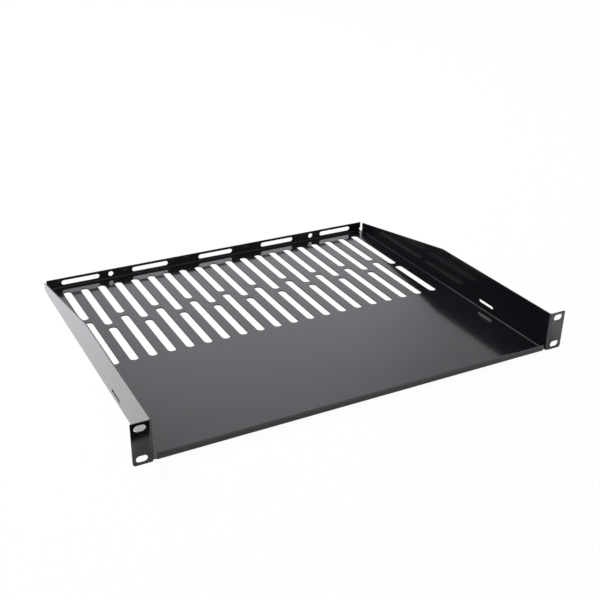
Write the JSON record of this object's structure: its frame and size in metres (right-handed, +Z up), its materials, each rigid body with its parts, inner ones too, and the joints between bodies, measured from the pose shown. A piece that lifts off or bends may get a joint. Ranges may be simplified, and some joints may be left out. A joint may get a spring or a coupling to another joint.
{
  "type": "rack shelf",
  "caption": "Cantilever rack shelf folded from sheet steel: slotted vent floor, low front lip, sloping side walls, slotted back wall and slotted mounting ears.",
  "frame": {"origin": "middle of the floor's underside, which is the bottom centre of the bounding box", "axes": "+X across the rack, to the right seen from the front; +Y from the ears towards the back wall; +Z up"},
  "size_m": [0.4826, 0.381, 0.0441],
  "materials": {
    "black_coat": "smooth semi-gloss black powder coat on steel"
  },
  "bodies": {
    "root": {"shelf_tray": "black_coat"}
  },
  "joints": []
}
